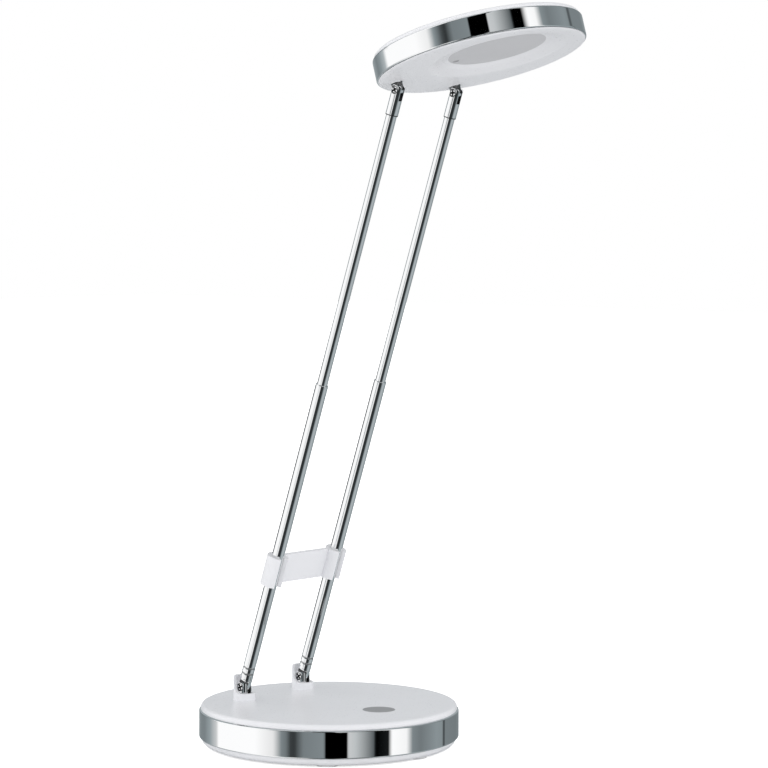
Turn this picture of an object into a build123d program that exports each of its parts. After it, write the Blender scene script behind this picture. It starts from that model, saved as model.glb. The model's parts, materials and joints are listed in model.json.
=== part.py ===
from build123d import *
import os
from math import cos, pi, radians, sin, sqrt, tan

# Desk lamp on a round base. Two telescopic chrome rods carry a flat round head.
# Millimetres, +Z up, origin on the table at the middle of the base.
# The front is towards -Y, and the hinge pins run along X.

# Fits
press_fit = 0.02          # gap at a pressed, glued or threaded seat
running_fit = 0.05        # radial gap where a piece turns or slides
plug_in_fit = 0.2         # radial gap of a spigot or screw hole

# Base shells
base_diameter = 145.0
base_band_height = 15.0
base_band_wall = 1.5
base_lip_width = 3.5
base_lip_thickness = 1.4
base_band_round = 1.6
base_band_top_round = 0.6
cover_inset = 1.0
cover_rise = 3.4
cover_thickness = 2.2
cover_round = 2.0
cover_spigot_depth = 2.0
pan_inset = 1.3
pan_rim_height = 4.2
pan_floor = 2.6
pan_round = 2.2
pan_spigot_height = 1.2

# Fasteners in general
screw_tip_gap = 0.5       # from a screw's tip to the end of its hole
screw_head_round = 0.6    # share of a screw head's height that is rounded
stud_tail = 0.9           # stud that shows past its nut
nut_height_ratio = 0.8    # of the stud's diameter
nut_width_ratio = 2.0     # across corners, of the stud's diameter
root = 0.5                # how deep a fused boss is rooted

# Feet, screws and ballast
foot_lift = 0.8
foot_diameter = 13.0
foot_sink = 1.0
foot_edge = 10.5          # from the middle of a foot to the base's edge
foot_angles = (0, 50, 130, 180, -130, -50)
foot_round = 0.5
base_screw_diameter = 3.0
base_screw_depth = 11.0
base_screw_head_diameter = 5.6
base_screw_head_height = 1.3
base_screw_sink = 1.4
base_screw_angles = (25, 155, -155, -25)
boss_diameter = 7.0
boss_gap = 0.5            # between a boss and the ballast
ballast_gap = 2.8         # between the ballast and the supply socket
ballast_thickness = 7.0

# Touch switch and supply
pad_diameter = 18.0
pad_thickness = 1.0
pad_edge = 36.3           # from the middle of the pad to the base's edge
foam_diameter = 8.0
foam_height = 3.5
board_width = 34.0
board_depth = 22.0
board_thickness = 1.6
board_post_spacing = 24.0
board_post_diameter = 5.0
board_screw_diameter = 2.0
board_screw_length = 4.6
board_screw_head_diameter = 3.8
board_screw_head_height = 1.2
choke_size = 7.0
choke_height = 3.6
socket_body_width = 9.0
socket_body_depth = 12.0
socket_body_height = 8.0
socket_nose_diameter = 7.4
socket_bore_diameter = 5.6
socket_bore_depth = 9.0
socket_pin_diameter = 2.0
socket_setback = 0.2
socket_pin_setback = 1.0
lead_diameter = 1.6
lead_bend = 6.0
lead_bend_share = 0.45    # of the shorter run that a bend may take up
lead_run = 18.0           # straight part at each end of a base lead
fork_lead_spacing = 22.0
supply_lead_spacing = 8.0
led_lead_spacing = 21.0
led_lead_run = 6.0

# Hinge sockets on the cover
rod_spacing = 49.6
hinge_edge = 31.1         # from the hinges' line to the base's edge
hinge_height = 7.4
cup_diameter = 12.4
cup_bore = 8.8
cup_front_height = 4.0
cup_shield_height = 13.8
cup_shield_setback = 2.4
cup_corner_round = 4.5
cup_edge_round = 0.5
cup_foot_round = 0.8

# Hinges
tongue_thickness = 2.4
tongue_side_gap = 0.1
base_tongue_radius = 3.25
head_tongue_radius = 2.9
hinge_screw_diameter = 2.2
hinge_screw_head_diameter = 3.9
hinge_screw_head_height = 0.95
screw_seat_diameter = 4.5
screw_seat_sink = 1.3
ear_rise = 2.6
ear_round = 2.2
base_fork_diameter = 7.9
base_slot_depth = 5.0
base_stud_diameter = 4.0
head_stud_diameter = 3.0
tag_thickness = 0.6
tag_width = 3.0
tag_length = 9.0

# Rods
rod_lean = 18.4
rod_length = 348.5        # hinge to hinge, fully drawn out
lower_tube_diameter = 7.0
lower_tube_rim = 181.4    # rim above the base hinge
tube_wall = 0.4
upper_tube_diameter = 5.8
tube_overlap = 18.0
rim_lip_length = 1.2
rim_round = 0.35
plug_shoulder = 4.4
plug_shoulder_radius = 7.0
plug_collar = 0.9
plug_depth = 9.6
crimp_heights = (8.6, 12.1)
crimp_radius = 0.6
crimp_depth = 0.25
bush_length = 8.0
bush_slit = 0.8
bush_flange = 0.6
neck_depth = 0.3
sleeve_diameter = 6.8
sleeve_length = 14.0
sleeve_bore_depth = 7.0
head_slot_depth = 5.4

# Clip that bridges the rods
clip_position = 71.0
clip_height = 17.2
clip_outer_diameter = 12.0
clip_slit_angle = 48.0
clip_web_thickness = 2.0
clip_web_setback = 0.5
clip_edge_round = 0.4

# Head shells
head_diameter = 113.2
head_band_height = 11.4
head_band_wall = 1.4
head_lip_width = 3.0
head_lip_thickness = 1.2
head_band_round = 0.8
head_rise = 16.0
hinge_drop = 3.9
flange_thickness = 0.4
flange_width = 7.0
flange_length = 9.0
face_inset = 0.8
face_rim_height = 0.8
face_rim_round = 0.7
face_thickness = 2.0
face_spigot_height = 3.0
shell_wall = 1.6
cap_inset = 1.0
cap_rise = 2.4
cap_round = 1.8
cap_thickness = 1.8
cap_skirt_overlap = 1.0
nut_wall_gap = 0.45       # between a tongue's nut and the cap's skirt

# Light unit
sink_wall_gap = 3.7       # between the heat sink and the cap's skirt, at the front
dish_diameter = 74.4
dish_slope_depth = 0.5
dish_throat_diameter = 58.8
dish_throat_round = 1.2
window_diameter = 51.0
window_depth = 3.4
diffuser_lap = 1.5
diffuser_thickness = 1.5
pocket_wall = 3.0
led_board_diameter = 54.0
led_board_thickness = 1.6
led_height = 0.7
led_size = 2.8
led_clearance = 1.5       # between the diffuser and the LEDs
led_ring_radii = (11.0, 20.0)
led_spacing = 9.25        # wanted between LEDs round a ring
heat_sink_thickness = 1.5
sink_post_angles = (0, 120, 240)
sink_post_diameter = 5.0
sink_screw_diameter = 2.2
sink_screw_length = 5.0
sink_screw_head_diameter = 4.2
sink_screw_head_height = 1.3

# Levels of the base, from the table up
pan_bottom_z = foot_lift
pan_floor_z = pan_bottom_z + pan_floor
base_band_low_z = pan_bottom_z + pan_rim_height
base_band_high_z = base_band_low_z + base_band_height
cover_top_z = base_band_high_z + cover_rise
cover_under_z = cover_top_z - cover_thickness
cover_spigot_z = base_band_high_z - base_lip_thickness - cover_spigot_depth
board_top_z = cover_under_z - foam_height
board_low_z = board_top_z - board_thickness
socket_top_z = cover_spigot_z - press_fit
socket_low_z = socket_top_z - socket_body_height
socket_axis_z = (socket_top_z + socket_low_z) / 2
hinge_z = cover_top_z + hinge_height

# Radii and other sizes that follow
base_radius = base_diameter / 2
base_lip_radius = base_radius - base_lip_width
socket_back = base_radius - base_band_wall - plug_in_fit
socket_front = socket_back - socket_body_depth
ballast_diameter = 2 * (socket_front - ballast_gap)
boss_circle = ballast_diameter + boss_diameter + 2 * boss_gap
foot_circle = base_diameter - 2 * foot_edge
pad_offset = base_radius - pad_edge
hinge_setback = base_radius - hinge_edge
cover_spigot_radius = base_lip_radius - plug_in_fit
screw_radius = hinge_screw_diameter / 2
slot_width = tongue_thickness + 2 * tongue_side_gap
lower_radius = lower_tube_diameter / 2
lower_bore = lower_radius - tube_wall
upper_radius = upper_tube_diameter / 2
upper_bore = upper_radius - tube_wall
tube_start = plug_shoulder + plug_collar
upper_tube_start = lower_tube_rim - tube_overlap
rod_sides = {"left": -rod_spacing / 2, "right": rod_spacing / 2}

# Levels of the head, from its flat underside up
head_radius = head_diameter / 2
head_lip_radius = head_radius - head_lip_width
head_band_low = face_rim_height
head_band_high = head_band_low + head_band_height
cap_top = head_band_high + cap_rise
cap_under = cap_top - cap_thickness
face_spigot_radius = head_lip_radius - plug_in_fit
face_spigot_top = head_band_low + head_lip_thickness + face_spigot_height
diffuser_top = window_depth + diffuser_thickness
diffuser_radius = window_diameter / 2 + diffuser_lap
led_low = diffuser_top + led_clearance
led_board_low = led_low + led_height
heat_sink_low = led_board_low + led_board_thickness
heat_sink_top = heat_sink_low + heat_sink_thickness
sink_post_circle = 2 * (diffuser_radius + pocket_wall) + sink_post_diameter
heat_sink_diameter = sink_post_circle + sink_post_diameter
cap_skirt_radius = face_spigot_radius - shell_wall - plug_in_fit
cap_skirt_bore = cap_skirt_radius - shell_wall
dish_offset = cap_skirt_bore - heat_sink_diameter / 2 - sink_wall_gap
stud_reach = cap_skirt_bore - nut_width_ratio * head_stud_diameter / 2 - nut_wall_gap
head_reach = sqrt(stud_reach ** 2 - (rod_spacing / 2) ** 2)

# Places
head_pivot = Pos(0, hinge_setback - rod_length * sin(radians(rod_lean)),
                 hinge_z + rod_length * cos(radians(rod_lean)))
head_place = head_pivot * Rot(-head_rise, 0, 0) * Pos(0, -head_reach, hinge_drop)
light_place = head_place * Pos(0, -dish_offset, 0)


def rod_place(x, along=0.0):
    """A place on the rod at x, a length up from the base hinge."""
    return Pos(x, hinge_setback, hinge_z) * Rot(rod_lean, 0, 0) * Pos(0, 0, along)


def bar(radius, low, high):
    """A round bar along Z between two heights."""
    return Pos(0, 0, low) * Cylinder(radius, high - low, align=(Align.CENTER, Align.CENTER, Align.MIN))


def pin(radius, start, end):
    """A round bar along X between two places."""
    return Rot(0, 90, 0) * bar(radius, start, end)


def block(x, y, z):
    """A box between pairs of limits."""
    size = (x[1] - x[0], y[1] - y[0], z[1] - z[0])
    return Pos(x[0], y[0], z[0]) * Box(*size, align=(Align.MIN, Align.MIN, Align.MIN))


def turned(outline, rounds=()):
    """Turn a closed outline of (radius, height) points about Z, after rounding the listed corners."""
    face = make_face(Polyline(*outline, close=True))
    for corner, radius in rounds:
        face = fillet(face.vertices().sort_by_distance(Vector(*corner))[0], radius)
    return revolve(Plane.XZ * face, Axis.Z)


def on_circle(diameter, angle):
    """A place on a circle about the lamp's axis, at an angle from the front."""
    turn = radians(angle)
    return Pos(diameter / 2 * sin(turn), -diameter / 2 * cos(turn), 0)


def pan_screw(diameter, length, head_diameter, head_height):
    """A screw that points up, with its head under the height 0 and a rounded top."""
    head = turned(
        [(0, -head_height), (head_diameter / 2, -head_height), (head_diameter / 2, 0), (0, 0)],
        [((head_diameter / 2, -head_height), head_height * screw_head_round)],
    )
    return head + bar(diameter / 2, 0, length)


def band(radius, wall, lip_radius, lip_thickness, low, high, rounds):
    """A thin trim band with a lip turned in at both edges."""
    inside = radius - wall
    outline = [
        (lip_radius, low), (radius, low), (radius, high), (lip_radius, high),
        (lip_radius, high - lip_thickness), (inside, high - lip_thickness),
        (inside, low + lip_thickness), (lip_radius, low + lip_thickness),
    ]
    return turned(outline, [((radius, low), rounds[0]), ((radius, high), rounds[1])])


def hinge_cup():
    """The socket round a base hinge: a low wall in front and a tall half-round shield behind."""
    radius = cup_diameter / 2
    cup = bar(radius, 0, cup_shield_height) - bar(cup_bore / 2, 0, cup_shield_height)
    front = block((-cup_diameter, cup_diameter), (-cup_diameter, cup_shield_setback),
                  (cup_front_height, 2 * cup_shield_height))
    corner = front.edges().filter_by(Axis.X).group_by(Axis.Z)[0].sort_by(Axis.Y)[-1]
    cup -= fillet(corner, cup_corner_round)
    cup = fillet(cup.edges().filter_by(GeomType.CIRCLE).group_by(Axis.Z)[-1], cup_edge_round)
    foot = turned(
        [(cup_bore / 2, 0), (radius + cup_foot_round, 0), (radius, cup_foot_round),
         (cup_bore / 2, cup_foot_round)],
    )
    return cup + foot


def base_cover():
    """Top shell with both hinge cups, the screw bosses and the recess of the touch pad."""
    radius = base_radius - cover_inset
    inside = cover_spigot_radius - cover_thickness
    shell = turned(
        [(0, cover_under_z), (inside, cover_under_z), (inside, cover_spigot_z),
         (cover_spigot_radius, cover_spigot_z), (cover_spigot_radius, base_band_high_z),
         (radius, base_band_high_z), (radius, cover_top_z), (0, cover_top_z)],
        [((radius, cover_top_z), cover_round)],
    )
    for x in rod_sides.values():
        shell += Pos(x, hinge_setback, cover_top_z) * hinge_cup()
        shell -= Pos(x, hinge_setback, 0) * bar(base_stud_diameter / 2 + plug_in_fit, 0, cover_top_z)
    for angle in base_screw_angles:
        shell += on_circle(boss_circle, angle) * bar(boss_diameter / 2, pan_floor_z, cover_under_z)
        hole = bar(base_screw_diameter / 2 + press_fit, 0, pan_floor_z + base_screw_depth)
        shell -= on_circle(boss_circle, angle) * hole
    for x in (-board_post_spacing / 2, board_post_spacing / 2):
        post = bar(board_post_diameter / 2, board_top_z, cover_under_z)
        hole = bar(board_screw_diameter / 2 + press_fit, 0, board_low_z + board_screw_length)
        shell += Pos(x, -pad_offset, 0) * post
        shell -= Pos(x, -pad_offset, 0) * hole
    recess = bar(pad_diameter / 2 + press_fit, cover_top_z - pad_thickness, 2 * cover_top_z)
    return shell - Pos(0, -pad_offset, 0) * recess


def base_band():
    """Chrome band round the base, with the hole of the supply socket at the back."""
    ring = band(base_radius, base_band_wall, base_lip_radius, base_lip_thickness,
                base_band_low_z, base_band_high_z, (base_band_round, base_band_top_round))
    hole = Rot(-90, 0, 0) * bar(socket_nose_diameter / 2 + plug_in_fit, 0, base_diameter)
    return ring - Pos(0, 0, socket_axis_z) * hole


def foot_spots():
    """Places of the feet: one in the middle of the pan and a ring near its edge."""
    return [Pos()] + [on_circle(foot_circle, angle) for angle in foot_angles]


def base_pan():
    """Lower shell with recesses for the feet and screws, and the seat of the supply socket."""
    radius = base_radius - pan_inset
    spigot = base_lip_radius - plug_in_fit
    inside = spigot - shell_wall
    top = base_band_low_z + base_lip_thickness + pan_spigot_height
    pan = turned(
        [(0, pan_bottom_z), (radius, pan_bottom_z), (radius, base_band_low_z),
         (spigot, base_band_low_z), (spigot, top), (inside, top), (inside, pan_floor_z),
         (0, pan_floor_z)],
        [((radius, pan_bottom_z), pan_round)],
    )
    half = socket_body_width / 2
    seat = block((-half, half), (socket_front, inside + shell_wall / 2),
                 (pan_floor_z, socket_low_z))
    pan += seat
    for spot in foot_spots():
        pan -= spot * bar(foot_diameter / 2 + plug_in_fit, 0, pan_bottom_z + foot_sink)
    for angle in base_screw_angles:
        head = bar(base_screw_head_diameter / 2 + plug_in_fit, 0, pan_bottom_z + base_screw_sink)
        shank = bar(base_screw_diameter / 2 + plug_in_fit, 0, pan_floor_z)
        pan -= on_circle(boss_circle, angle) * (head + shank)
    return pan


def rubber_feet():
    """Soft feet stuck in the recesses of the pan."""
    top = pan_bottom_z + foot_sink
    foot = turned(
        [(0, 0), (foot_diameter / 2, 0), (foot_diameter / 2, top), (0, top)],
        [((foot_diameter / 2, 0), foot_round)],
    )
    return [spot * foot for spot in foot_spots()]


def base_screws():
    """Screws that draw the pan and the band up against the cover."""
    level = Pos(0, 0, pan_bottom_z + base_screw_sink)
    length = pan_floor_z + base_screw_depth - screw_tip_gap - pan_bottom_z - base_screw_sink
    screw = pan_screw(base_screw_diameter, length, base_screw_head_diameter, base_screw_head_height)
    return [on_circle(boss_circle, angle) * level * screw for angle in base_screw_angles]


def touch_board():
    """Circuit board of the touch switch and LED driver, with its choke underneath."""
    board = block((-board_width / 2, board_width / 2), (-board_depth / 2, board_depth / 2),
                  (board_low_z, board_top_z))
    choke = Pos(0, 0, board_low_z - choke_height) * Cylinder(
        choke_size / 2, choke_height, align=(Align.CENTER, Align.CENTER, Align.MIN))
    board += choke
    for x in (-board_post_spacing / 2, board_post_spacing / 2):
        board -= Pos(x, 0, 0) * bar(board_screw_diameter / 2 + plug_in_fit, board_low_z, board_top_z)
    return Pos(0, -pad_offset, 0) * board


def board_screws():
    """Two small screws that hold the board to the cover's posts."""
    screw = pan_screw(board_screw_diameter, board_screw_length - screw_tip_gap, board_screw_head_diameter,
                      board_screw_head_height)
    spots = (-board_post_spacing / 2, board_post_spacing / 2)
    return [Pos(x, -pad_offset, board_low_z) * screw for x in spots]


def dc_socket():
    """Round low-voltage socket behind the band, its nose flush with the chrome."""
    face = base_radius - socket_setback
    half = socket_body_width / 2
    body = block((-half, half), (socket_front, socket_back), (socket_low_z, socket_top_z))
    axis = Pos(0, 0, socket_axis_z) * Rot(-90, 0, 0)
    body += axis * bar(socket_nose_diameter / 2, socket_back - root, face)
    body -= axis * bar(socket_bore_diameter / 2, face - socket_bore_depth, base_diameter)
    return body + axis * bar(socket_pin_diameter / 2, face - socket_bore_depth - root,
                              face - socket_pin_setback)


def fork(diameter, low, slot_depth):
    """A bar about its hinge pin at the origin: slotted, ears rounded, screw seat on the -X side."""
    radius = diameter / 2
    ears = block((-diameter, diameter), (-radius, radius), (low, ear_rise))
    ears = fillet(ears.edges().filter_by(Axis.X).group_by(Axis.Z)[-1], ear_round)
    body = bar(radius, low, ear_rise) & ears
    body -= block((-slot_width / 2, slot_width / 2), (-diameter, diameter), (-slot_depth, diameter))
    body -= pin(screw_radius + press_fit, -diameter, diameter)
    return body - pin(screw_seat_diameter / 2, -diameter, -radius + screw_seat_sink)


def hinge_screw(diameter):
    """Cross-head hinge screw in its fork, its head on the -X side."""
    seat = -diameter / 2 + screw_seat_sink
    head = turned(
        [(0, 0), (hinge_screw_head_diameter / 2, 0),
         (hinge_screw_head_diameter / 2, hinge_screw_head_height), (0, hinge_screw_head_height)],
        [((hinge_screw_head_diameter / 2, hinge_screw_head_height),
          hinge_screw_head_height * screw_head_round)],
    )
    shank = pin(screw_radius, seat, diameter / 2 - screw_tip_gap)
    return Pos(seat, 0, 0) * Rot(0, -90, 0) * head + shank


def base_fork():
    """Fork that stands in a hinge cup, with the stud that fastens it under the cover."""
    stud_end = -hinge_height - cover_thickness - tag_thickness - nut_height(base_stud_diameter) - stud_tail
    body = fork(base_fork_diameter, -hinge_height, base_slot_depth)
    return body + bar(base_stud_diameter / 2, stud_end, -hinge_height)


def nut_height(stud_diameter):
    """Height of a nut on a stud of this diameter."""
    return nut_height_ratio * stud_diameter


def hex_nut(stud_diameter):
    """A hexagon nut from the height 0 up."""
    across_corners = nut_width_ratio * stud_diameter
    nut = extrude(RegularPolygon(across_corners / 2, 6), nut_height(stud_diameter))
    return nut - bar(stud_diameter / 2 + press_fit, 0, across_corners)


def solder_tag(stud_diameter):
    """A ring tag from the height 0 up, its tail towards the front."""
    ring = bar(stud_diameter, 0, tag_thickness)
    tail = block((-tag_width / 2, tag_width / 2), (-tag_length, 0), (0, tag_thickness))
    return ring + tail - bar(stud_diameter / 2 + press_fit, 0, tag_thickness)


def lower_plug():
    """Plug of a lower tube: a tongue round the hinge pin, a hollowed shoulder and a spigot."""
    collar = bar(lower_radius, 0, tube_start)
    collar -= Pos(0, 0, plug_shoulder - plug_shoulder_radius) * pin(
        plug_shoulder_radius, -lower_tube_diameter, lower_tube_diameter)
    half = tongue_thickness / 2
    tongue = pin(base_tongue_radius, -half, half)
    tongue += block((-half, half), (-base_tongue_radius, base_tongue_radius), (0, tube_start))
    plug = collar + tongue + bar(lower_bore - press_fit, tube_start - root, tube_start + plug_depth)
    return plug - pin(screw_radius + running_fit, -lower_tube_diameter, lower_tube_diameter)


def lower_tube():
    """Outer tube with two rolled crimp grooves and a rim rolled in on the inner tube."""
    lip = upper_radius + running_fit
    tube = turned(
        [(lower_bore, tube_start), (lower_radius, tube_start), (lower_radius, lower_tube_rim),
         (lip, lower_tube_rim), (lip, lower_tube_rim - rim_lip_length),
         (lower_bore, lower_tube_rim - rim_lip_length)],
        [((lower_radius, lower_tube_rim), rim_round)],
    )
    for height in crimp_heights:
        tube -= Pos(0, 0, height) * Torus(lower_radius + crimp_radius - crimp_depth, crimp_radius)
    return tube


def upper_tube():
    """Inner tube, necked at its foot for the contact bush, from that foot up into the sleeve."""
    neck = upper_radius - neck_depth
    low = upper_tube_start
    high = rod_length - sleeve_length + sleeve_bore_depth
    neck_top = low + bush_flange + bush_length
    return turned(
        [(neck - tube_wall, low), (upper_radius, low), (upper_radius, low + bush_flange),
         (neck, low + bush_flange), (neck, neck_top), (upper_radius, neck_top),
         (upper_radius, high), (upper_bore, high), (upper_bore, neck_top + tube_wall),
         (neck - tube_wall, neck_top)],
    )


def contact_bush():
    """Split brass bush that slides in the outer tube and carries the current."""
    low = upper_tube_start + bush_flange + press_fit
    high = low + bush_length - 2 * press_fit
    bush = bar(lower_bore - running_fit, low, high)
    bush -= bar(upper_radius - neck_depth + press_fit, low, high)
    slit = block((-bush_slit / 2, bush_slit / 2), (0, lower_tube_diameter), (low, high))
    return bush - slit


def upper_fork():
    """Sleeve on the inner tube whose slotted end takes the head's tongue."""
    body = fork(sleeve_diameter, -sleeve_length, head_slot_depth)
    return body - bar(upper_radius + press_fit, -sleeve_length, -sleeve_length + sleeve_bore_depth)


def rod_clip():
    """White clip: two open rings that slide on the lower tubes, joined by a flat web."""
    outer = clip_outer_diameter / 2
    bore = lower_radius + running_fit
    reach = clip_outer_diameter * tan(radians(clip_slit_angle / 2))
    slit = make_face(Polyline((0, 0), (-reach, -clip_outer_diameter), (reach, -clip_outer_diameter),
                              close=True))
    web_end = rod_spacing / 2 - (outer + bore) / 2
    web = Pos(0, clip_web_setback + clip_web_thickness / 2) * Rectangle(2 * web_end, clip_web_thickness)
    section = Sketch() + web
    for x in rod_sides.values():
        section += Pos(x, 0) * (Circle(outer) - Circle(bore) - slit)
    clip = extrude(section, clip_height / 2, both=True)
    lips = clip.edges().filter_by(Axis.Z).group_by(Axis.Y)[0]
    return fillet(lips, clip_edge_round)


def head_tongue():
    """Tongue in head coordinates, with the flange under the face and the stud through it."""
    half = tongue_thickness / 2
    pivot = Pos(0, head_reach, -hinge_drop)
    tongue = pivot * pin(head_tongue_radius, -half, half)
    sides = (head_reach - head_tongue_radius, head_reach + head_tongue_radius)
    tongue += block((-half, half), sides, (-hinge_drop, 0))
    tongue += block((-flange_width / 2, flange_width / 2),
                    (head_reach - flange_length / 2, head_reach + flange_length / 2),
                    (-flange_thickness, 0))
    tongue -= pivot * pin(screw_radius + running_fit, -flange_width, flange_width)
    top = face_thickness + tag_thickness + nut_height(head_stud_diameter) + stud_tail
    return tongue + Pos(0, head_reach, 0) * bar(head_stud_diameter / 2, 0, top)


def head_face():
    """Underside shell with the forward dish, the diffuser pocket and the heat sink posts."""
    radius = head_radius - face_inset
    inside = face_spigot_radius - shell_wall
    face = turned(
        [(0, 0), (radius, 0), (radius, head_band_low), (face_spigot_radius, head_band_low),
         (face_spigot_radius, face_spigot_top), (inside, face_spigot_top), (inside, face_thickness),
         (0, face_thickness)],
        [((radius, 0), face_rim_round)],
    )
    light = Pos(0, -dish_offset, 0)
    pocket = diffuser_radius + press_fit
    face += light * bar(pocket + pocket_wall, 0, diffuser_top)
    for angle in sink_post_angles:
        post = bar(sink_post_diameter / 2, 0, heat_sink_low)
        hole = bar(sink_screw_diameter / 2 + press_fit, heat_sink_top - sink_screw_length, heat_sink_low)
        face += light * on_circle(sink_post_circle, angle) * post
        face -= light * on_circle(sink_post_circle, angle) * hole
    throat = dish_throat_diameter / 2
    window = window_diameter / 2
    dish = turned(
        [(0, 0), (dish_diameter / 2, 0), (throat, dish_slope_depth), (window, window_depth),
         (0, window_depth)],
        [((throat, dish_slope_depth), dish_throat_round)],
    )
    face -= light * dish
    face -= light * bar(pocket, window_depth, heat_sink_top)
    for x in rod_sides.values():
        face -= Pos(x, head_reach, 0) * bar(head_stud_diameter / 2 + plug_in_fit, 0, face_thickness)
    return face


def head_band():
    """Chrome band round the head."""
    return band(head_radius, head_band_wall, head_lip_radius, head_lip_thickness,
                head_band_low, head_band_high, (head_band_round, head_band_round))


def head_cap():
    """Top shell of the head, plugged into the underside shell."""
    radius = head_radius - cap_inset
    skirt_low = face_spigot_top - cap_skirt_overlap
    return turned(
        [(0, cap_under), (cap_skirt_bore, cap_under), (cap_skirt_bore, skirt_low),
         (cap_skirt_radius, skirt_low), (cap_skirt_radius, head_band_high),
         (radius, head_band_high), (radius, cap_top), (0, cap_top)],
        [((radius, cap_top), cap_round)],
    )


def leds():
    """LEDs in two rings, facing down from their board."""
    def count(radius):
        return round(2 * pi * radius / led_spacing)

    chip = Pos(0, 0, led_low) * Box(led_size, led_size, led_height - press_fit,
                                    align=(Align.CENTER, Align.CENTER, Align.MIN))
    return [
        Rot(0, 0, 360 * i / count(radius)) * Pos(0, -radius, 0) * chip
        for radius in led_ring_radii
        for i in range(count(radius))
    ]


def heat_sink():
    """Aluminium disc on three posts, with the LED board stuck under it."""
    disc = bar(heat_sink_diameter / 2, heat_sink_low, heat_sink_top)
    for angle in sink_post_angles:
        hole = bar(sink_screw_diameter / 2 + plug_in_fit, heat_sink_low, heat_sink_top)
        disc -= on_circle(sink_post_circle, angle) * hole
    return disc


def heat_sink_screws():
    """Screws down through the heat sink into its posts."""
    screw = pan_screw(sink_screw_diameter, sink_screw_length - screw_tip_gap, sink_screw_head_diameter,
                      sink_screw_head_height)
    down = Pos(0, 0, heat_sink_top) * Rot(180, 0, 0)
    return [on_circle(sink_post_circle, angle) * down * screw for angle in sink_post_angles]


def lead(points):
    """A wire along straight runs, its bends as wide as the runs leave room for."""
    spots = [Vector(*point) for point in points]
    bends = []
    for before, corner, after in zip(spots, spots[1:], spots[2:]):
        run_in, run_out = corner - before, after - corner
        room = lead_bend_share * min(run_in.length, run_out.length)
        bends.append(min(lead_bend, room / tan(radians(run_in.get_angle(run_out)) / 2)))
    path = FilletPolyline(*points, radius=bends)
    return sweep(Plane(path @ 0, z_dir=path % 0) * Circle(lead_diameter / 2), path)


def base_leads():
    """Wires from the supply socket to the board, and from the board to both forks."""
    board_edge = board_depth / 2 - pad_offset + press_fit
    board_z = (board_low_z + board_top_z) / 2
    tag_z = cover_under_z - tag_thickness - press_fit - lead_diameter / 2
    tag_end = hinge_setback - tag_length + tag_width
    socket_end = socket_front - press_fit
    wires = []
    for side in (-1, 1):
        fork_x = side * rod_spacing / 2
        board_x = side * fork_lead_spacing / 2
        wires.append(lead([(fork_x, tag_end, tag_z), (fork_x, tag_end - lead_run, tag_z),
                           (board_x, board_edge + lead_run, board_z),
                           (board_x, board_edge, board_z)]))
        socket_x = side * socket_body_width / 4
        pad_x = side * supply_lead_spacing / 2
        wires.append(lead([(socket_x, socket_end, socket_axis_z),
                           (socket_x, socket_end - lead_run, socket_axis_z),
                           (pad_x, board_edge + lead_run, board_z),
                           (pad_x, board_edge, board_z)]))
    return wires


def head_leads():
    """Wires from both head tongues to the LED board."""
    tag_z = face_thickness + tag_thickness + press_fit + lead_diameter / 2
    board_z = led_board_low + led_board_thickness / 2
    tag_end = head_reach - tag_length + tag_width
    wires = []
    for side in (-1, 1):
        board_x = side * led_lead_spacing / 2
        edge = sqrt((led_board_diameter / 2) ** 2 - board_x ** 2) - dish_offset + lead_diameter / 4
        fork_x = side * rod_spacing / 2
        wires.append(lead([(fork_x, tag_end, tag_z), (fork_x, tag_end - led_lead_run, tag_z),
                           (board_x, edge + led_lead_run, board_z), (board_x, edge, board_z)]))
    return wires


def group(place, solids):
    """Several like pieces in one node."""
    return Compound(children=[place * solid for solid in solids])


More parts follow.
